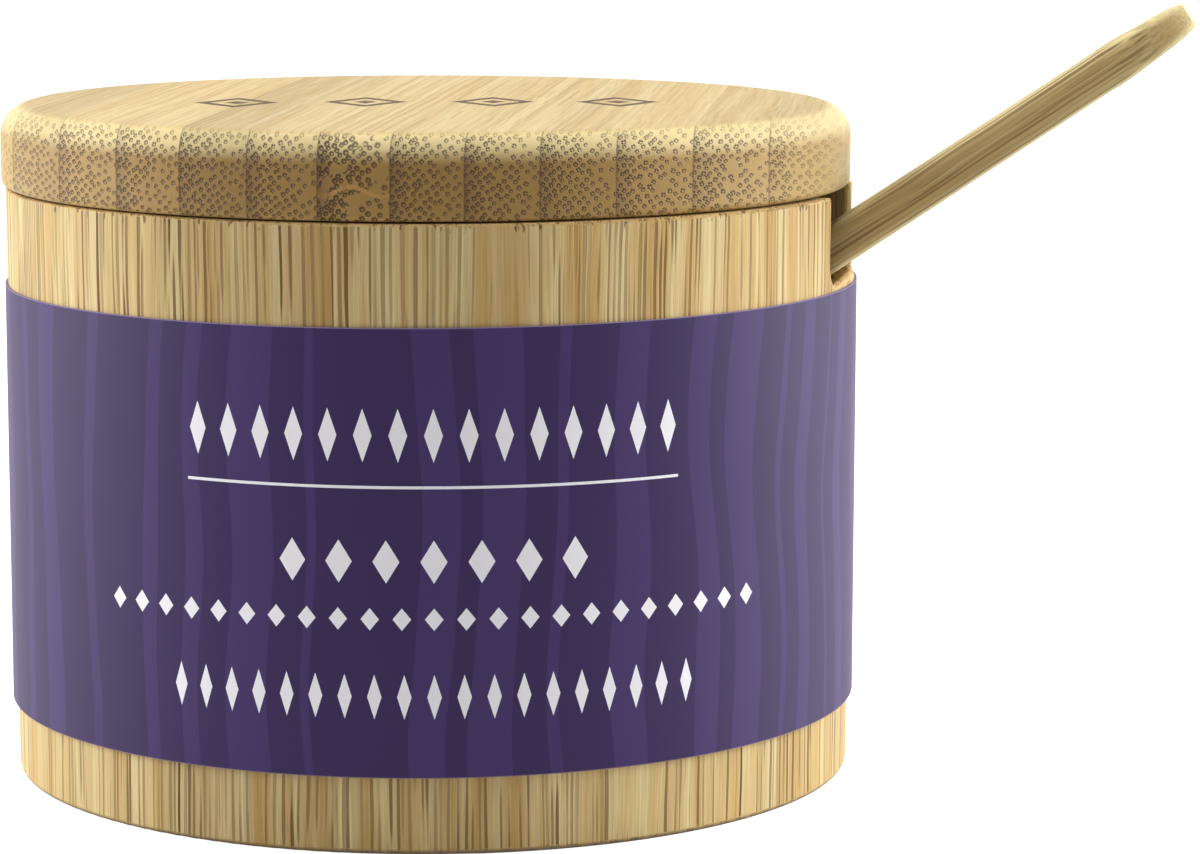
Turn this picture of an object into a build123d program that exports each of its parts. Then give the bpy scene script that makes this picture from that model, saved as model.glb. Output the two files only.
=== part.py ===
from build123d import *
import math
import os

os.makedirs("parts", exist_ok=True)

# Frame: millimetres, origin at the centre of the base, Z up.
# The spoon leaves through the slot towards +X, the lid turns on a pin at +Y,
# and the two magnets meet at -Y.

# Box body, a turned cup that narrows a little towards the foot
rim_radius = 44.45
rim_height = 61.35
foot_inset = 0.4
wall_thickness = 8.95
foot_rounding = 0.6
rim_rounding = 0.3

# Floor disc, let into a rebate from below
floor_thickness = 7.0
floor_rebate = 3.0

# Lid, glued up from strips and turned as one disc
lid_gap = 0.14
lid_inset = 0.05
lid_thickness = 8.36
lid_top_rounding = 3.2
lid_edge_rounding = 0.8
strip_count = 13
strips_across = 12.75
first_strip_share = 0.7
strip_grain_turn = 5.53

# Lid at rest, swung a hair off the box as it was last pushed shut
lid_rest_swing = 0.75

# Pin and magnets, in the middle of the wall
pin_radius = 2.0
pin_running_clearance = 0.05
pin_depth_in_lid = 5.2
pin_depth_in_wall = 10.0
pin_bore_spare = 0.5
pin_chamfer = 0.4
magnet_radius = 3.0
magnet_thickness = 3.0

# Slot in the wall for the spoon, its floor sloping down inwards along the spoon
slot_width = 18.8
slot_depth = 8.25
slot_corner_radius = 2.2
slot_edge_rounding = 0.5

# Spoon, straight, its bowl on the floor of the box and its handle out through the slot
handle_above_slot = 3.6
bowl_end_from_wall = 7.2
bowl_end_lift = 0.43
spoon_length = 128.9
bowl_length = 30.2
bowl_width = 15.2
bowl_thickness = 5.2
handle_width = 9.0
handle_thickness = 4.15
tip_length = 10.5
hollow_half_length = 10.0
hollow_radius = 6.2
hollow_from_end = 11.6

# Shapes along the spoon as shares: along, width, thickness, lift of the middle, corner radius
bowl_shape = [
    (0.0, 0.33, 0.31, 0.15, 0.14),
    (0.045, 0.62, 0.58, 0.13, 0.23),
    (0.145, 0.87, 0.86, 0.15, 0.32),
    (0.32, 1.0, 1.0, 0.15, 0.39),
    (0.52, 0.99, 1.0, 0.14, 0.39),
    (0.74, 0.76, 0.96, 0.07, 0.34),
    (1.0, 0.61, 0.93, 0.0, 0.25),
]
tip_shape = [
    (0.0, 0.98, 1.0, 0.0, 0.27),
    (0.44, 0.92, 0.94, 0.0, 0.27),
    (0.76, 0.76, 0.83, 0.0, 0.26),
    (0.93, 0.56, 0.71, 0.0, 0.24),
    (1.0, 0.42, 0.6, 0.0, 0.21),
]

# Paper sleeve, gripping the body along its top edge
paper_thickness = 0.3
sleeve_low = 7.8
sleeve_below_rim = 9.85
sleeve_lean_high = 0.26
sleeve_lean_low = 0.15
sleeve_turn = 12.25
sleeve_lap_width = 12.0

# Worked out from the sizes above
foot_radius = rim_radius - foot_inset
bore_radius = rim_radius - wall_thickness
floor_radius = bore_radius + floor_rebate
wall_circle = rim_radius - wall_thickness / 2
lid_radius = rim_radius - lid_inset
lid_bottom = rim_height + lid_gap
strip_width = 2 * lid_radius / strips_across
strip_first_joint = first_strip_share * strip_width - lid_radius
strip_overreach = strip_width
slot_outer_height = rim_height - slot_depth
slot_cut_height = 3 * slot_depth
slot_cut_reach = 3 * wall_thickness
sleeve_high = rim_height - sleeve_below_rim
sleeve_overreach = paper_thickness * 4
swing = math.radians(lid_rest_swing)
bowl_end = Vector(bowl_end_from_wall - bore_radius, 0, floor_thickness + bowl_end_lift)
spoon_at_wall = Vector(rim_radius, 0, slot_outer_height + handle_above_slot)
spoon_direction = (spoon_at_wall - bowl_end).normalized()
spoon_up = Vector(-spoon_direction.Z, 0, spoon_direction.X)


def body_radius_at(height):
    return foot_radius + foot_inset * height / rim_height


def lid_plane(height, turn=0.0):
    centre = (-wall_circle * math.sin(swing), wall_circle * (1 - math.cos(swing)), height)
    angle = math.radians(turn) - swing
    return Plane(origin=centre, x_dir=(math.cos(angle), math.sin(angle), 0), z_dir=(0, 0, 1))


def spoon_plane(along):
    return Plane(origin=bowl_end + spoon_direction * along, x_dir=(0, 1, 0), z_dir=spoon_direction)


def sleeve_edge(height, lean):
    turn = math.radians(sleeve_turn)
    slope = math.radians(lean)
    normal = (-math.sin(slope) * math.cos(turn), -math.sin(slope) * math.sin(turn), math.cos(slope))
    return Plane(origin=(0, 0, height), x_dir=(-math.sin(turn), math.cos(turn), 0), z_dir=normal)


# The box body: cup, slot, pin bore and magnet pocket
with BuildPart() as box_body:
    with BuildSketch(Plane.XZ):
        with BuildLine():
            Polyline(
                (floor_radius, 0),
                (foot_radius, 0),
                (rim_radius, rim_height),
                (bore_radius, rim_height),
                (bore_radius, floor_thickness),
                (floor_radius, floor_thickness),
                close=True,
            )
        make_face()
    revolve(axis=Axis.Z)
    outer_foot = box_body.faces().sort_by(Axis.Z)[0].edges().sort_by(SortBy.RADIUS)[-1]
    fillet(outer_foot, foot_rounding)
    slot_foot = Vector(body_radius_at(slot_outer_height), 0, slot_outer_height)
    slot_start = slot_foot - spoon_direction * slot_cut_reach / 2
    with BuildSketch(Plane(origin=slot_start, x_dir=(0, 1, 0), z_dir=spoon_direction)):
        with Locations((0, slot_cut_height / 2)):
            Rectangle(slot_width, slot_cut_height)
        fillet(vertices().sort_by(Axis.Y)[:2], slot_corner_radius)
    extrude(amount=slot_cut_reach, mode=Mode.SUBTRACT)
    outer_slot_edges = box_body.edges().filter_by(
        lambda edge: edge.center().X > foot_radius - 3 * foot_inset
        and abs(edge.center().Y) < slot_width / 2 + foot_inset
        and edge.center().Z > slot_outer_height - foot_inset
    )
    fillet(outer_slot_edges, slot_edge_rounding)
    fillet(box_body.faces().sort_by(Axis.Z)[-1].edges(), rim_rounding)
    for across, radius, depth in (
        (wall_circle, pin_radius + pin_running_clearance, pin_depth_in_wall + pin_bore_spare),
        (-wall_circle, magnet_radius, magnet_thickness),
    ):
        with BuildSketch(Plane.XY.offset(rim_height)):
            with Locations((0, across)):
                Circle(radius)
        extrude(amount=-depth, mode=Mode.SUBTRACT)
box_body.part.label = "box_body"
export_step(box_body.part, "parts/box_body.step")

# The floor of the box
with BuildPart() as floor_disc:
    with BuildSketch():
        Circle(floor_radius)
    extrude(amount=floor_thickness)
floor_disc.part.label = "floor_disc"
export_step(floor_disc.part, "parts/floor_disc.step")

# The magnet in the rim and its partner in the lid
with BuildPart() as box_magnet:
    with BuildSketch(Plane.XY.offset(rim_height)):
        with Locations((0, -wall_circle)):
            Circle(magnet_radius)
    extrude(amount=-magnet_thickness)
box_magnet.part.label = "box_magnet"
export_step(box_magnet.part, "parts/box_magnet.step")

with BuildPart() as lid_magnet:
    with BuildSketch(lid_plane(lid_bottom)):
        with Locations((0, -wall_circle)):
            Circle(magnet_radius)
    extrude(amount=magnet_thickness)
lid_magnet.part.label = "lid_magnet"
export_step(lid_magnet.part, "parts/lid_magnet.step")

# The pin, pressed into the lid and turning in the wall
with BuildPart() as pivot_pin:
    with BuildSketch(lid_plane(rim_height - pin_depth_in_wall)):
        with Locations((0, wall_circle)):
            Circle(pin_radius)
    extrude(amount=pin_depth_in_wall + lid_gap + pin_depth_in_lid)
    chamfer(pivot_pin.edges().sort_by(Axis.Z)[0], pin_chamfer)
pivot_pin.part.label = "pivot_pin"
export_step(pivot_pin.part, "parts/pivot_pin.step")

# The lid: one turned disc, cut along the glue joints into its strips
for number in range(strip_count):
    low = strip_first_joint + (number - 1) * strip_width
    high = low + strip_width
    if number == 0:
        low = -lid_radius - strip_overreach
    if number == strip_count - 1:
        high = lid_radius + strip_overreach
    with BuildPart() as strip:
        with BuildSketch(lid_plane(lid_bottom)):
            Circle(lid_radius)
        extrude(amount=lid_thickness)
        fillet(strip.edges().sort_by(Axis.Z)[-1], lid_top_rounding)
        fillet(strip.edges().sort_by(Axis.Z)[0], lid_edge_rounding)
        with BuildSketch(lid_plane(lid_bottom, strip_grain_turn)):
            with Locations(((low + high) / 2, 0)):
                Rectangle(high - low, 2 * (lid_radius + strip_overreach))
        extrude(amount=lid_thickness, mode=Mode.INTERSECT)
        for across, radius, depth in (
            (wall_circle, pin_radius, pin_depth_in_lid),
            (-wall_circle, magnet_radius, magnet_thickness),
        ):
            with BuildSketch(lid_plane(lid_bottom)):
                with Locations((0, across)):
                    Circle(radius)
            extrude(amount=depth, mode=Mode.SUBTRACT)
    name = f"lid_strip_{number + 1:02d}"
    strip.part.label = name
    export_step(strip.part, f"parts/{name}.step")

# The spoon: bowl, handle and tip, then the hollow of the bowl
tip_start = spoon_length - tip_length
bowl_stations = [
    (along * bowl_length, width * bowl_width, thick * bowl_thickness, lift * bowl_thickness, corner * bowl_thickness)
    for along, width, thick, lift, corner in bowl_shape
]
tip_stations = [
    (
        tip_start + along * tip_length,
        width * handle_width,
        thick * handle_thickness,
        lift * handle_thickness,
        corner * handle_thickness,
    )
    for along, width, thick, lift, corner in tip_shape
]
with BuildPart() as spoon:
    for stations in (bowl_stations, [bowl_stations[-1], tip_stations[0]], tip_stations):
        for along, width, thickness, lift, corner in stations:
            with BuildSketch(spoon_plane(along)):
                with Locations((0, lift)):
                    RectangleRounded(width, thickness, corner)
        loft()
    hollow_middle = bowl_end + spoon_direction * hollow_from_end + spoon_up * hollow_radius
    with BuildSketch(Plane(origin=hollow_middle, x_dir=spoon_direction, z_dir=(0, -1, 0))):
        Ellipse(hollow_half_length, hollow_radius)
        with Locations((0, hollow_radius / 2)):
            Rectangle(2 * hollow_half_length, hollow_radius, mode=Mode.INTERSECT)
    revolve(axis=Axis(hollow_middle, spoon_direction), mode=Mode.SUBTRACT)
spoon.part.label = "spoon"
export_step(spoon.part, "parts/spoon.step")

# The paper sleeve with its lap seam at the back
grip_height = sleeve_high + rim_radius * math.tan(math.radians(sleeve_lean_high))
grip_radius = body_radius_at(grip_height)
sleeve_height = sleeve_high - sleeve_low + 2 * sleeve_overreach
with BuildPart() as paper_sleeve:
    with BuildSketch(Plane.XY.offset(sleeve_low - sleeve_overreach)):
        Circle(grip_radius + paper_thickness)
        Circle(grip_radius, mode=Mode.SUBTRACT)
    extrude(amount=sleeve_height)
    with BuildSketch(Plane.XY.offset(sleeve_low - sleeve_overreach).rotated((0, 0, sleeve_turn))):
        Circle(grip_radius + 2 * paper_thickness)
        Circle(grip_radius + paper_thickness, mode=Mode.SUBTRACT)
        with Locations((0, grip_radius)):
            Rectangle(sleeve_lap_width, sleeve_lap_width, mode=Mode.INTERSECT)
    extrude(amount=sleeve_height)
    split(bisect_by=sleeve_edge(sleeve_high, sleeve_lean_high), keep=Keep.BOTTOM)
    split(bisect_by=sleeve_edge(sleeve_low, sleeve_lean_low), keep=Keep.TOP)
paper_sleeve.part.label = "paper_sleeve"
export_step(paper_sleeve.part, "parts/paper_sleeve.step")
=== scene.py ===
import math

import bpy
from mathutils import Matrix, Vector

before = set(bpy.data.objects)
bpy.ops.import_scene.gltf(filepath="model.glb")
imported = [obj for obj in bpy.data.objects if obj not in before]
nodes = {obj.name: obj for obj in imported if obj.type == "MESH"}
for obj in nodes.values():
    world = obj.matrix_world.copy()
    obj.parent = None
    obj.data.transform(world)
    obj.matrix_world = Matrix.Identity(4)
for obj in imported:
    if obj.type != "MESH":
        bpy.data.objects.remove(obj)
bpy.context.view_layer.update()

MM = 0.001
IN_MM = (1000, 1000, 1000)

# Sizes repeated from the part, in millimetres
RIM_RADIUS = 44.45
RIM_HEIGHT = 61.35
WALL_CIRCLE = 39.975
LID_TOP = 69.85
LID_RADIUS = 44.4
STRIP_COUNT = 13
STRIP_WIDTH = 2 * LID_RADIUS / 12.75
STRIP_FIRST_JOINT = 0.7 * STRIP_WIDTH - LID_RADIUS
STRIP_TURN = math.radians(4.78)
LID_SWING = math.radians(0.75)
LID_CENTRE = Vector((-WALL_CIRCLE * math.sin(LID_SWING), WALL_CIRCLE * (1 - math.cos(LID_SWING)), 0))
SPOON_DIRECTION = Vector((0.827983, 0, 0.560753))
SPOON_UP = Vector((-0.560753, 0, 0.827983))
SLEEVE_RADIUS = 44.69
SLEEVE_LOW = 7.8
SLEEVE_HIGH = 51.5
SLEEVE_TURN = math.radians(12.25)
SLEEVE_LEAN_HIGH = math.radians(0.26)
SLEEVE_LEAN_LOW = math.radians(0.15)

# The seventh strip from the left was cut from coarser bamboo, with a pale wavy flaw across its cut end
HEAVY_STRIP = 6
HEAVY_GROWTH = 0.05
HEAVY_PORES = 0.8
FLAW_HEIGHT = 64.4
FLAW_WAVE = -0.45
FLAW_TURNS = 1.1
FLAW_EDGE = (0.16, 0.26)

# Four burnt lozenges on the lid: their middles and half sizes, and the burnt line as a share of those
LID_MARKS = ((-19.4, -6.6), (-6.5, -2.9), (6.5, 0.1), (19.3, 2.5))
MARK_HALF_WIDTH = 4.2
MARK_HALF_DEPTH = 6.6
MARK_LINE = 0.86
MARK_LINE_EDGE = (0.16, 0.20)
MARK_CORE_EDGE = (0.28, 0.34)
BURN_DEPTH = 0.5

# Printed rows on the sleeve: height, half height, half width, pitch, count
SLEEVE_ROWS = (
    (41.2, 2.6, 0.9, 3.4, 15),
    (29.0, 2.1, 1.3, 4.6, 7),
    (23.4, 1.1, 0.9, 3.1, 23),
    (15.8, 2.2, 0.7, 2.9, 19),
)
RULE_HEIGHT = 36.2
RULE_HALF_LENGTH = 25.0
RULE_HALF_THICKNESS = 0.14
PAPER_TOP_EDGE = 0.07
PAPER_BOTTOM_EDGE = 0.08

# The wavy stripes, and the paper's fibres: 2.5 changes per millimetre, coarser than real so that they show
SWAY_RATE = (0.05, 0.045, 0)
STRIPE_SWAY = 3.5
STRIPE_RATE = 0.21
STRIPE_EDGE = (0.53, 0.54)
PAPER_GRIT = (2500, 2500, 2500)
PAPER_RELIEF = 0.05

# Bamboo: its fibres waver by under a millimetre, and its bundles stand in scattered slanting rows
WAVER_RATE = (0.12, 0.12, 0.045)
WAVER_ACROSS = 0.35
WAVER_THROUGH = 0.6
STRIP_SHIFT = 40.0
ROW_ANGLE = math.radians(52)
ROW_SCATTER = 0.42
PORE_EDGE = (-0.03, 0.05)
# How far the pale core sits off each bundle's middle, which paints shade on one side of its ring
CORE_SHIFT_FOR_SHADE = (-0.035, 0.055, 0)
CORE_EDGE = (0.06, 0.12)
PORES_AROUND = 4.0
FULL_TURN = 6.3
BUNDLES_MISSING = 0.12
OPEN_SIDE_PORES = 0.74
JUST_UNDER = 0.001
STRIP_LIGHTNESS = (0.88, 1.07)
JOINT_EDGE = (0.02, 0.12)
RIND_REACH = 0.24
WOOD_ROUGHNESS = (0.54, 0.38)
FIBRE_ROUGHNESS = 0.12
FIBRE_RELIEF = 0.22
PORE_DEPTH = 0.12

# The box's torn rim, and the painted shade along its foot and in its bore, by height and by radius
SPLINTER_HEIGHTS = (RIM_HEIGHT - 1.7, RIM_HEIGHT - 0.2)
SPLINTER_EDGE = (0.48, 0.74)
FOOT_SHADE_HEIGHTS = (0.2, 0.6)
BORE_SHADE_EDGE = (RIM_RADIUS - 1.3, RIM_RADIUS - 0.45)

# Noise along the grain: changes per millimetre across and along, detail, the range read, and what it gives
FINE_FIBRES = (5.0, 0.10, 4.0, 0.30, 0.70)
SLOW_TONE = (0.55, 0.012, 3.0, 0.34, 0.66)
STREAK_BREAKS = (0.20, 0.01, 2.0, 0.36, 0.60, 0.45, 1.0)
SPLINTERS = (2.1, 0.7, 2.0, 0.52, 0.68)
BARE_PATCHES = (0.42, 0.0, 1.0, 0.60, 0.63)

# How far a face cuts across the grain, 0 along it and 1 square to it: where each look starts and is full
END_GRAIN = (0.22, 0.94)
SLANT_CUT = (0.10, 0.40)
STREAKS_FADE = (0.05, 0.30)
PORES_SHOW = (0.08, 0.62)
JOINTS_SHOW = (0.1, 0.5)
RIM_TOP = (0.4, 0.7)

# Colours beside each wood's own, as sRGB
SLANT_COLOUR = "#d8b573"
# The painted highlight laid on rounded edges
PAINTED_HIGHLIGHT_COLOUR = "#f8e8b0"
FLAW_COLOUR = "#b98f4e"
RIND_COLOUR = "#543c2c"
BURNT_COLOUR = "#3f240b"
TORN_COLOUR = "#4d3416"
FOOT_SHADE_COLOUR = "#4d3a1c"
DEEP_INK = "#2f1c4c"
STRIPE_INK = "#3e2b60"
LOZENGE_WHITE = "#fdfaff"
PAPER_TOP_COLOUR = "#85769c"
PAPER_BOTTOM_COLOUR = "#8a7078"

# The camera of the photograph, fitted in pixels, millimetres and radians
PHOTO_WIDTH = 1200
FOCAL_LENGTH = 4027.85
SENSOR_WIDTH = 36.0
CAMERA_DISTANCE = 423.27
CAMERA_HEIGHT = 99.93
CAMERA_DIP = 0.1517
CAMERA_PAN = 0.0418
CAMERA_ROLL = 0.0024

# Light: what the floor and the world give, the floor's half width in metres, and what the lamps face
FLOOR_REACH = 6.0
FLOOR_GLOW = 0.90
WORLD_LIGHT = 0.20
LAMP_TARGET = Vector((0, 0, 0.04))

X_AXIS = Vector((1, 0, 0))
Y_AXIS = Vector((0, 1, 0))
Z_AXIS = Vector((0, 0, 1))


def colour(text):
    """Linear colour of an sRGB hex text."""
    parts = [int(text[i : i + 2], 16) / 255 for i in (1, 3, 5)]
    return tuple(p / 12.92 if p <= 0.04045 else ((p + 0.055) / 1.055) ** 2.4 for p in parts) + (1.0,)


def add(tree, kind, *values, **settings):
    """Adds a node with its settings and gives its first output.

    A word after the kind is its operation. Values go to its inputs in order, and None leaves one alone.
    """
    kind, _, operation = kind.partition(" ")
    made = tree.nodes.new("ShaderNode" + kind)
    if operation:
        made.operation = operation
    for key, value in settings.items():
        setattr(made, key, value)
    for socket, value in zip(made.inputs, values):
        if isinstance(value, bpy.types.NodeSocket):
            tree.links.new(value, socket)
        elif value is not None:
            socket.default_value = value
    return made.outputs[0]


def new_material(name, base, **sockets):
    """A material with its even colour and its constant values on the shader's own sockets."""
    material = bpy.data.materials.new(name)
    material.use_nodes = True
    tree = material.node_tree
    shader = tree.nodes["Principled BSDF"]
    shader.inputs["Base Color"].default_value = colour(base)
    for key, value in sockets.items():
        shader.inputs[key.replace("_", " ")].default_value = value
    return material, tree, shader


def bamboo(name, axes, wood, blank, bundles, streaks, fibre, edges, origin=Vector(), burnt=(), painted_bore_shade=0.0):
    """Planed bamboo: its fibre bundles are dark pores where they are cut across, and streaks elsewhere.

    axes: across the strip, through it and along the grain
    wood: pale, warm, cut end and pore colours
    blank: where the glued strips start, their width, their count and how much closer one side's bundles stand
    bundles: their spacing, their least and greatest radius, and how dark their pores are
    streaks, fibre: how dark the streaks and the fine fibres are
    edges: the painted highlight on rounded edges: how far they face an axis, from none to full and down to
    none, and how pale the highlight makes them
    origin, burnt: the grain's own middle, and the middles of the burnt marks
    interior: the share of its brightness that the bore keeps, or 0 where there is no bore
    """
    pale, warm, end, pore = [colour(text) for text in wood]
    first, width, count, crowding = blank
    spacing, least, greatest, darkness = bundles
    material, tree, shader = new_material(name, wood[0], IOR=1.5, Specular_IOR_Level=0.2)
    place = add(tree, "TexCoord").node
    spot = add(tree, "VectorMath MULTIPLY", place.outputs["Object"], IN_MM)
    spot = add(tree, "VectorMath SUBTRACT", spot, tuple(origin))
    u, w, v = [add(tree, "VectorMath DOT_PRODUCT", spot, tuple(axis)).node.outputs["Value"] for axis in axes]
    slow = add(tree, "VectorMath MULTIPLY", add(tree, "CombineXYZ", u, w, v), WAVER_RATE)
    slow = add(tree, "SeparateXYZ", add(tree, "TexNoise", slow, None, 1.0, 2.0).node.outputs["Color"]).node
    u_fibre = add(tree, "MapRange", slow.outputs[0], 0.0, 1.0, -WAVER_ACROSS, WAVER_ACROSS)
    u_fibre = add(tree, "Math ADD", u_fibre, u)
    w_fibre = add(tree, "MapRange", slow.outputs[1], 0.0, 1.0, -WAVER_THROUGH, WAVER_THROUGH)
    w_fibre = add(tree, "Math ADD", w_fibre, w)
    # Place in the glued strip: 0 at the rind side, where bundles are small and close, and 1 at the open side
    strip = add(tree, "Math DIVIDE", add(tree, "Math SUBTRACT", u, first), width)
    strip = add(tree, "Math MAXIMUM", add(tree, "Math MINIMUM", strip, count - JUST_UNDER), 0.0)
    index = add(tree, "Math FLOOR", strip)
    share = add(tree, "Math FRACT", strip)
    left = add(tree, "Math SUBTRACT", 1.0, share)
    chance = add(tree, "TexWhiteNoise", None, index, noise_dimensions="1D")
    w_strip = add(tree, "Math MULTIPLY_ADD", chance, STRIP_SHIFT, w_fibre)

    def grain(crosswise, lengthwise, detail, low, high, dark=0.0, bright=1.0):
        """Noise drawn out along the grain, so many changes per millimetre each way."""
        at = add(tree, "CombineXYZ", u_fibre, w_strip, v)
        at = add(tree, "VectorMath MULTIPLY", at, (crosswise, crosswise, lengthwise))
        return add(tree, "MapRange", add(tree, "TexNoise", at, None, 1.0, detail), low, high, dark, bright)

    # Bundles in slanting rows, drawn closer towards the rind side
    heavy = add(tree, "Math COMPARE", index, HEAVY_STRIP if burnt else -1.0, 0.5)
    bunched = add(tree, "Math MULTIPLY", share, left)
    bunched = add(tree, "Math MULTIPLY_ADD", bunched, crowding * width, u_fibre)
    slope = add(tree, "MapRange", share, 0.0, 1.0, 1.0 + crowding, 1.0 - crowding)
    at = add(tree, "CombineXYZ", bunched, w_strip, 0.0)
    at = add(tree, "Mapping", at, None, (0, 0, ROW_ANGLE), (1 / spacing, 1 / spacing, 1))
    cells = add(tree, "TexVoronoi", at, None, 1.0, voronoi_dimensions="2D").node
    cells.inputs["Randomness"].default_value = ROW_SCATTER
    tint = add(tree, "SeparateXYZ", cells.outputs["Color"]).node
    off = add(tree, "VectorMath SUBTRACT", at, cells.outputs["Position"])
    off = add(tree, "Mapping", off, None, (0, 0, -ROW_ANGLE), (spacing, spacing, 1))
    off = add(tree, "VectorMath DIVIDE", off, add(tree, "CombineXYZ", slope, 1.0, 1.0))
    reach = add(tree, "VectorMath LENGTH", off).node.outputs["Value"]
    # The pale core and the pores are the bundle's own; the core's shift off the middle, darkening one side of
    # each ring, is painted shade in the pit
    inner = add(tree, "VectorMath ADD", off, CORE_SHIFT_FOR_SHADE)
    inner = add(tree, "VectorMath LENGTH", inner).node.outputs["Value"]
    size = add(tree, "MapRange", tint.outputs[0], 0.0, 1.0, least, greatest)
    size = add(tree, "Math ADD", size, add(tree, "Math MULTIPLY", heavy, HEAVY_GROWTH))
    disc = add(tree, "MapRange", add(tree, "Math SUBTRACT", reach, size), *PORE_EDGE, 1.0, 0.0)
    core = add(tree, "MapRange", inner, *CORE_EDGE, 0.9, 0.0)
    # Each bundle shows four pores round its pale core, and a few bundles are missing
    apart = add(tree, "SeparateXYZ", off).node
    around = add(tree, "Math ARCTAN2", apart.outputs[1], apart.outputs[0])
    begin = add(tree, "Math MULTIPLY", tint.outputs[2], FULL_TURN)
    around = add(tree, "Math MULTIPLY_ADD", around, PORES_AROUND, begin)
    lobes = add(tree, "MapRange", add(tree, "Math COSINE", around), -0.9, 0.1, 0.4, 1.0)
    lobes = add(tree, "Math MAXIMUM", lobes, add(tree, "Math MULTIPLY", heavy, HEAVY_PORES))
    missing = add(tree, "Math MULTIPLY", share, BUNDLES_MISSING)
    there = add(tree, "Math GREATER_THAN", tint.outputs[1], missing)
    disc = add(tree, "Math MULTIPLY", disc, there)
    pores = add(tree, "Math MULTIPLY", disc, add(tree, "Math SUBTRACT", 1.0, core))
    pores = add(tree, "Math MULTIPLY", pores, lobes)
    pores = add(tree, "Math MULTIPLY", pores, add(tree, "MapRange", share, 0.0, 1.0, 1.0, OPEN_SIDE_PORES))
    if burnt:
        # The coarse strip has pale patches between its bundles
        bare = add(tree, "Math MULTIPLY", heavy, grain(*BARE_PATCHES))
        pores = add(tree, "Math MULTIPLY", pores, add(tree, "Math SUBTRACT", 1.0, bare))
    # Slow changes of tone, fine fibres, and the darker cut ends
    fine = grain(*FINE_FIBRES)
    body = add(tree, "MixRGB", grain(*SLOW_TONE), pale, warm)
    body = add(tree, "MixRGB", add(tree, "Math MULTIPLY", fine, fibre), body, pore)
    cut = add(tree, "VectorMath DOT_PRODUCT", place.outputs["Normal"], tuple(axes[2]))
    cut = add(tree, "Math ABSOLUTE", cut.node.outputs["Value"])
    ends = add(tree, "MapRange", cut, *END_GRAIN)
    slant = add(tree, "MapRange", cut, *SLANT_CUT, 0.0, 0.6)
    body = add(tree, "MixRGB", slant, body, colour(SLANT_COLOUR))
    body = add(tree, "MixRGB", add(tree, "Math MULTIPLY", ends, 0.85), body, end)
    # Painted highlight: faces at a slant to the given axis are paled, as a shine on rounded edges
    if edges:
        axis, rise, fall, most = edges
        facing = add(tree, "VectorMath DOT_PRODUCT", place.outputs["Normal"], tuple(axis))
        facing = facing.node.outputs["Value"]
        painted_highlight = add(tree, "MapRange", facing, *rise, 0.0, most)
        painted_highlight = add(tree, "Math MULTIPLY", painted_highlight, add(tree, "MapRange", facing, *fall, 1.0, 0.0))
        body = add(tree, "MixRGB", painted_highlight, body, colour(PAINTED_HIGHLIGHT_COLOUR))
    # Streaks where a bundle is cut lengthwise, and pores where it is cut across
    strength = add(tree, "MapRange", tint.outputs[2], 0.0, 1.0, 0.4 * streaks, streaks)
    lines = add(tree, "Math MULTIPLY", disc, strength)
    lines = add(tree, "Math MULTIPLY", lines, grain(*STREAK_BREAKS))
    lines = add(tree, "Math MULTIPLY", lines, add(tree, "MapRange", cut, *STREAKS_FADE, 1.0, 0.0))
    pores = add(tree, "Math MULTIPLY", pores, add(tree, "MapRange", cut, *PORES_SHOW, 0.0, darkness))
    pits = add(tree, "Math MAXIMUM", lines, pores)
    lift = add(tree, "MapRange", chance, 0.0, 1.0, *STRIP_LIGHTNESS)
    body = add(tree, "VectorMath MULTIPLY", body, add(tree, "CombineXYZ", lift, lift, lift))
    body = add(tree, "MixRGB", pits, body, pore)
    if burnt:
        bend = add(tree, "Math SINE", add(tree, "Math MULTIPLY", u, FLAW_TURNS))
        bend = add(tree, "Math MULTIPLY_ADD", bend, FLAW_WAVE, FLAW_HEIGHT)
        flaw = add(tree, "Math ABSOLUTE", add(tree, "Math SUBTRACT", w, bend))
        flaw = add(tree, "Math MULTIPLY", add(tree, "MapRange", flaw, *FLAW_EDGE, 0.9, 0.0), heavy)
        body = add(tree, "MixRGB", add(tree, "Math MULTIPLY", flaw, ends), body, colour(FLAW_COLOUR))
        # Strip joints, the purplish band of old rind beside each, and the marks burnt into the top
        joint = add(tree, "Math MULTIPLY", add(tree, "Math MINIMUM", share, left), width)
        joint = add(tree, "MapRange", joint, *JOINT_EDGE, 1.0, 0.0)
        joint = add(tree, "Math MULTIPLY", joint, add(tree, "MapRange", cut, *JOINTS_SHOW, 0.12, 0.45))
        body = add(tree, "MixRGB", joint, body, pore)
        rind = add(tree, "Math MULTIPLY", add(tree, "MapRange", share, 0.0, RIND_REACH, 0.6, 0.0), ends)
        rind = add(tree, "Math MULTIPLY", rind, add(tree, "MapRange", chance, 0.0, 1.0, 0.35, 1.0))
        body = add(tree, "MixRGB", rind, body, colour(RIND_COLOUR))
        at = add(tree, "SeparateXYZ", place.outputs["Object"]).node
        top = add(tree, "Math GREATER_THAN", at.outputs[2], (LID_TOP - BURN_DEPTH) * MM)
        for mark_x, mark_y in burnt:
            side = add(tree, "VectorMath SUBTRACT", place.outputs["Object"], (mark_x * MM, mark_y * MM, 0))
            side = add(tree, "Mapping", side, None, (0, 0, -SLEEVE_TURN), (1000, 1000, 0))
            side = add(tree, "VectorMath ABSOLUTE", side)
            span = add(tree, "VectorMath DOT_PRODUCT", side, (1 / MARK_HALF_WIDTH, 1 / MARK_HALF_DEPTH, 0))
            span = span.node.outputs["Value"]
            ring = add(tree, "Math ABSOLUTE", add(tree, "Math SUBTRACT", span, MARK_LINE))
            ring = add(tree, "MapRange", ring, *MARK_LINE_EDGE, 1.0, 0.0)
            middle = add(tree, "MapRange", span, *MARK_CORE_EDGE, 1.0, 0.0)
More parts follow.
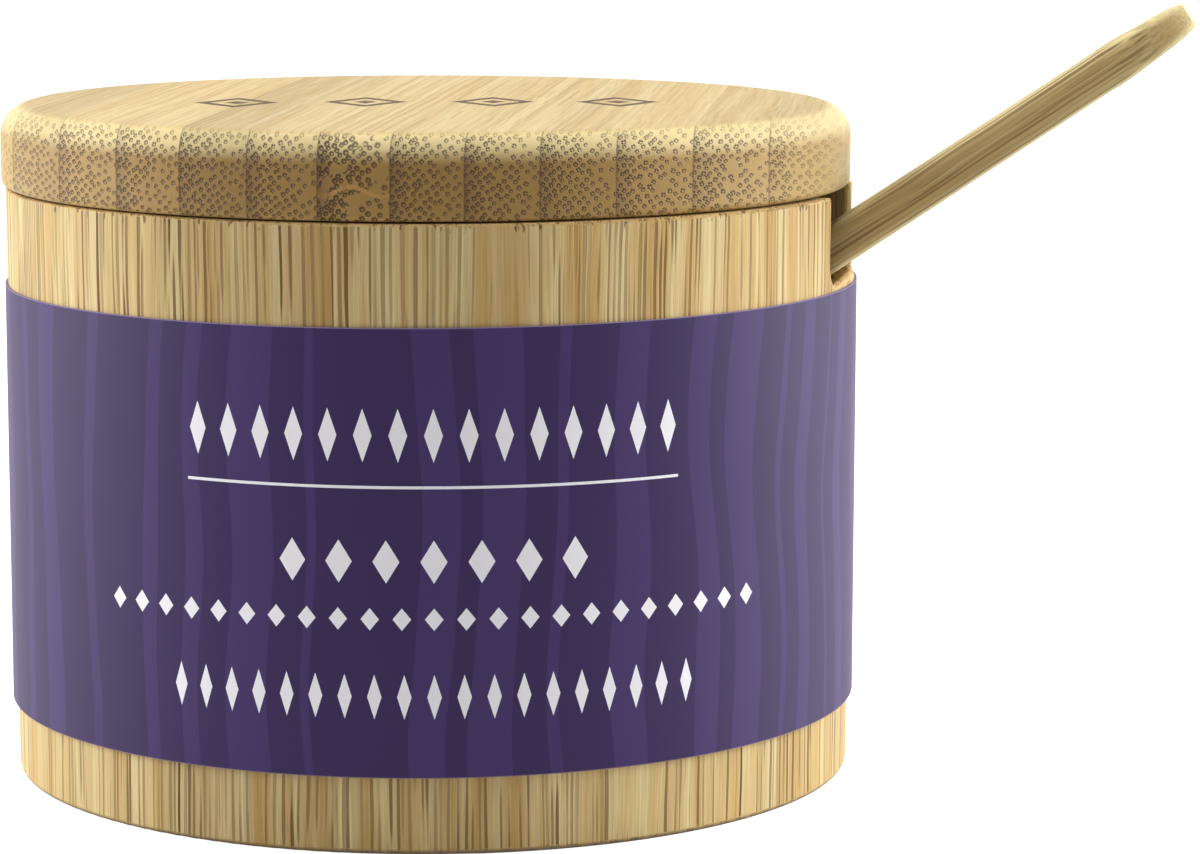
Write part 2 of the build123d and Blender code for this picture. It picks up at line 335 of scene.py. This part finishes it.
            ring = add(tree, "Math MAXIMUM", ring, middle)
            ring = add(tree, "Math MULTIPLY", ring, top)
            body = add(tree, "MixRGB", add(tree, "Math MULTIPLY", ring, 0.92), body, colour(BURNT_COLOUR))
            pits = add(tree, "Math MAXIMUM", pits, ring)
    if painted_bore_shade:
        # Small splinters broken out of the rim, painted shade along the foot's edge where it meets the floor,
        # and painted shade in the bore
        rise = add(tree, "MapRange", v, *SPLINTER_HEIGHTS)
        torn = add(tree, "Math MULTIPLY", grain(*SPLINTERS), rise)
        torn = add(tree, "MapRange", torn, *SPLINTER_EDGE)
        body = add(tree, "MixRGB", add(tree, "Math MULTIPLY", torn, 0.75), body, colour(TORN_COLOUR))
        pits = add(tree, "Math MAXIMUM", pits, torn)
        # Painted shade: a dark band at the foot's lowest edge
        painted_foot_shade = add(tree, "MapRange", v, *FOOT_SHADE_HEIGHTS, 0.8, 0.0)
        body = add(tree, "MixRGB", painted_foot_shade, body, colour(FOOT_SHADE_COLOUR))
        # Painted shade: the bore and slot walls are darkened, and faces looking up are spared
        radius = add(tree, "VectorMath LENGTH", add(tree, "CombineXYZ", u, w, 0.0)).node.outputs["Value"]
        shade = add(tree, "MapRange", radius, *BORE_SHADE_EDGE, painted_bore_shade, 1.0)
        shade = add(tree, "Math MAXIMUM", shade, add(tree, "MapRange", cut, *RIM_TOP))
        body = add(tree, "VectorMath MULTIPLY", body, add(tree, "CombineXYZ", shade, shade, shade))
    tree.links.new(body, shader.inputs["Base Color"])
    gloss = add(tree, "MapRange", fine, 0.0, 1.0, 0.0, FIBRE_ROUGHNESS)
    gloss = add(tree, "Math ADD", gloss, add(tree, "MapRange", ends, 0.0, 1.0, *WOOD_ROUGHNESS))
    tree.links.new(gloss, shader.inputs["Roughness"])
    relief = add(tree, "Math SUBTRACT", add(tree, "Math MULTIPLY", fine, FIBRE_RELIEF), pits)
    tree.links.new(add(tree, "Bump", 0.6, PORE_DEPTH * MM, None, relief), shader.inputs["Normal"])
    return material


lid_across = Vector((math.cos(STRIP_TURN), math.sin(STRIP_TURN), 0))
lid_along = Vector((-math.sin(STRIP_TURN), math.cos(STRIP_TURN), 0))
lid_blank = (STRIP_FIRST_JOINT - STRIP_WIDTH, STRIP_WIDTH, STRIP_COUNT, 0.30)
wide_blank = (-95.0, 19.0, 10, 0.20)

# Strip-glued bamboo, turned and sanded: dark pores on the cut ends, and a painted highlight on the rounded
# shoulder
lid_axes = (lid_across, Z_AXIS, lid_along)
lid_wood = ("#d6c08f", "#c4a975", "#97733c", "#2b1504")
lid_bundles = (0.66, 0.19, 0.24, 0.97)
lid_shoulder_highlight = (Z_AXIS, (0.10, 0.55), (0.90, 0.995), 0.55)
lid_look = (lid_bundles, 0.24, 0.12, lid_shoulder_highlight, LID_CENTRE, LID_MARKS)
lid_bamboo = bamboo("bamboo_lid_strips", lid_axes, lid_wood, lid_blank, *lid_look)

# Bamboo glued up upright and turned, left bare: matt and pale, with fine brown streaks from foot to rim
box_axes = (X_AXIS, Y_AXIS, Z_AXIS)
box_wood = ("#ead59d", "#cfa968", "#d0ae74", "#5e390b")
box_bundles = (0.56, 0.10, 0.21, 0.9)
box_bamboo = bamboo(
    "bamboo_turned_upright", box_axes, box_wood, wide_blank, box_bundles, 1.0, 0.26, None, painted_bore_shade=0.34
)

# The same bamboo laid flat for the floor, a little duller, with its streaks running from side to side
floor_axes = (Y_AXIS, Z_AXIS, X_AXIS)
disc_wood = ("#dcc48e", "#c4a468", "#a98757", "#643e0e")
floor_bamboo = bamboo("bamboo_floor_disc", floor_axes, disc_wood, wide_blank, box_bundles, 0.8, 0.3, None)

# One piece of planed bamboo: long streaks from the bowl to the handle's end, and a painted highlight over its
# top, bottom and rounded edges
spoon_axes = (Y_AXIS, SPOON_UP, SPOON_DIRECTION)
spoon_wood = ("#f3da9c", "#d2ad68", "#e2c88b", "#5a370c")
spoon_bundles = (0.46, 0.10, 0.19, 0.3)
spoon_edge_highlight = (Y_AXIS, (-0.97, -0.60), (0.60, 0.97), 0.7)
spoon_bamboo = bamboo(
    "bamboo_spoon", spoon_axes, spoon_wood, wide_blank, spoon_bundles, 1.0, 0.42, spoon_edge_highlight
)

# Nickel plating on the magnets gives them a bright warm grey; the ground steel of the pin is duller
nickel = new_material("nickel_plate", "#c9c6bf", Metallic=1.0, Roughness=0.22)[0]
steel = new_material("ground_steel", "#a9a9a8", Metallic=1.0, Roughness=0.38)[0]

# Uncoated printed paper: deep purple ink with paler wavy stripes, slightly rough, so it shows soft light only
paper, tree, shader = new_material("printed_paper", DEEP_INK, Roughness=0.55, Specular_IOR_Level=0.25)
place = add(tree, "TexCoord").node.outputs["Object"]
turned = add(tree, "SeparateXYZ", add(tree, "Mapping", place, None, (0, 0, -SLEEVE_TURN), IN_MM)).node
side, height = turned.outputs[0], turned.outputs[2]
arc = add(tree, "Math ARCTAN2", side, add(tree, "Math MULTIPLY", turned.outputs[1], -1.0))
arc = add(tree, "Math MULTIPLY", arc, SLEEVE_RADIUS)
sway = add(tree, "VectorMath MULTIPLY", add(tree, "CombineXYZ", arc, height, 0.0), SWAY_RATE)
sway = add(tree, "TexNoise", sway, None, 1.0, 0.0, noise_dimensions="2D")
bent = add(tree, "Math MULTIPLY", add(tree, "Math MULTIPLY_ADD", sway, STRIPE_SWAY, arc), STRIPE_RATE)
bands = add(tree, "TexNoise", None, bent, 1.0, 0.0, noise_dimensions="1D")
stripe = add(tree, "MapRange", bands, *STRIPE_EDGE)
ink = add(tree, "MixRGB", stripe, colour(DEEP_INK), colour(STRIPE_INK))
# Plain white lozenges in rows and one thin rule
rise = add(tree, "Math ABSOLUTE", add(tree, "Math SUBTRACT", height, RULE_HEIGHT))
within = add(tree, "Math LESS_THAN", add(tree, "Math ABSOLUTE", arc), RULE_HALF_LENGTH)
white = add(tree, "Math MULTIPLY", add(tree, "Math LESS_THAN", rise, RULE_HALF_THICKNESS), within)
for middle, half_height, half_width, pitch, count in SLEEVE_ROWS:
    step = add(tree, "Math DIVIDE", add(tree, "Math PINGPONG", arc, pitch / 2), half_width)
    rise = add(tree, "Math ABSOLUTE", add(tree, "Math SUBTRACT", height, middle))
    span = add(tree, "Math ADD", step, add(tree, "Math DIVIDE", rise, half_height))
    within = add(tree, "Math LESS_THAN", add(tree, "Math ABSOLUTE", arc), count * pitch / 2)
    lozenge = add(tree, "Math MULTIPLY", add(tree, "Math LESS_THAN", span, 1.0), within)
    white = add(tree, "Math MAXIMUM", white, lozenge)
ink = add(tree, "MixRGB", white, ink, colour(LOZENGE_WHITE))
# The sleeve's cut edges are paler, and lean a little as it does
upper = add(tree, "Math MULTIPLY_ADD", side, math.tan(SLEEVE_LEAN_HIGH), SLEEVE_HIGH - PAPER_TOP_EDGE)
lower = add(tree, "Math MULTIPLY_ADD", side, math.tan(SLEEVE_LEAN_LOW), SLEEVE_LOW + PAPER_BOTTOM_EDGE)
ink = add(tree, "MixRGB", add(tree, "Math GREATER_THAN", height, upper), ink, colour(PAPER_TOP_COLOUR))
ink = add(tree, "MixRGB", add(tree, "Math LESS_THAN", height, lower), ink, colour(PAPER_BOTTOM_COLOUR))
tree.links.new(ink, shader.inputs["Base Color"])
grit = add(tree, "TexNoise", add(tree, "VectorMath MULTIPLY", place, PAPER_GRIT), None, 1.0, 3.0)
tree.links.new(add(tree, "Bump", 0.15, PAPER_RELIEF * MM, None, grit), shader.inputs["Normal"])

# Every piece keeps the shape of its own solid, and all that aren't named here are the lid's strips
dress = {"box_body": box_bamboo, "floor_disc": floor_bamboo, "box_magnet": nickel, "lid_magnet": nickel}
dress.update({"pivot_pin": steel, "spoon": spoon_bamboo, "paper_sleeve": paper})
for name, node in nodes.items():
    node.data.materials.clear()
    node.data.materials.append(dress.get(name, lid_bamboo))

# The camera stands where the photograph was taken from
camera_data = bpy.data.cameras.new("camera")
camera_data.sensor_width = SENSOR_WIDTH
camera_data.lens = FOCAL_LENGTH / PHOTO_WIDTH * SENSOR_WIDTH
camera = bpy.data.objects.new("camera", camera_data)
bpy.context.scene.collection.objects.link(camera)
turn = Matrix.Rotation(SLEEVE_TURN - CAMERA_PAN, 4, "Z")
turn = turn @ Matrix.Rotation(math.pi / 2 - CAMERA_DIP, 4, "X") @ Matrix.Rotation(CAMERA_ROLL, 4, "Z")
stand_x = CAMERA_DISTANCE * math.sin(SLEEVE_TURN)
stand_y = -CAMERA_DISTANCE * math.cos(SLEEVE_TURN)
camera.matrix_world = Matrix.Translation(Vector((stand_x, stand_y, CAMERA_HEIGHT)) * MM) @ turn
bpy.context.scene.camera = camera


def seen_rays(tree):
    """1 for rays from the eye, straight, by reflection or through glass, and 0 for those that give light."""
    path = add(tree, "LightPath").node
    seen = add(tree, "Math MAXIMUM", path.outputs["Is Camera Ray"], path.outputs["Is Glossy Ray"])
    return add(tree, "Math MAXIMUM", seen, path.outputs["Is Transmission Ray"])


# A matt painted studio floor. Its glow on seen rays makes it plain white and hides the object's shadow
corners = [(x * FLOOR_REACH, y * FLOOR_REACH, 0) for x, y in ((-1, -1), (1, -1), (1, 1), (-1, 1))]
floor_data = bpy.data.meshes.new("floor")
floor_data.from_pydata(corners, [], [(0, 1, 2, 3)])
floor = bpy.data.objects.new("floor", floor_data)
bpy.context.scene.collection.objects.link(floor)
floor_material, tree, shader = new_material("pale_floor", "#d0d0d0", Roughness=0.9, Specular_IOR_Level=0.0)
glow = add(tree, "Emission", (1, 1, 1, 1), add(tree, "Math MULTIPLY", seen_rays(tree), FLOOR_GLOW))
both = add(tree, "AddShader", shader.outputs[0], glow)
tree.links.new(both, tree.nodes["Material Output"].inputs["Surface"])
floor_data.materials.append(floor_material)

# The world is white to the eye and gives only a little light
world = bpy.data.worlds.new("studio")
bpy.context.scene.world = world
world.use_nodes = True
tree = world.node_tree
sky = tree.nodes["Background"]
strength = add(tree, "MapRange", seen_rays(tree), 0.0, 1.0, WORLD_LIGHT, 1.0)
tree.links.new(strength, sky.inputs["Strength"])
sky.inputs["Color"].default_value = (1, 1, 1, 1)

# Soft square lamps: place and side in metres, and power in watts
lamps = {
    "lamp_left": ((-0.78, -0.08, 0.28), 0.7, 8.2),
    "lamp_right": ((0.73, 0.30, 0.30), 0.7, 10.4),
    "lamp_top": ((0.0, 0.0, 0.95), 0.45, 4.4),
}
for name, (spot, side, power) in lamps.items():
    lamp = bpy.data.lights.new(name, "AREA")
    lamp.shape = "RECTANGLE"
    lamp.size = side
    lamp.size_y = side
    lamp.energy = power
    holder = bpy.data.objects.new(name, lamp)
    bpy.context.scene.collection.objects.link(holder)
    holder.location = spot
    holder.rotation_euler = (LAMP_TARGET - Vector(spot)).to_track_quat("-Z", "Y").to_euler()

bpy.context.scene.view_settings.view_transform = "Standard"
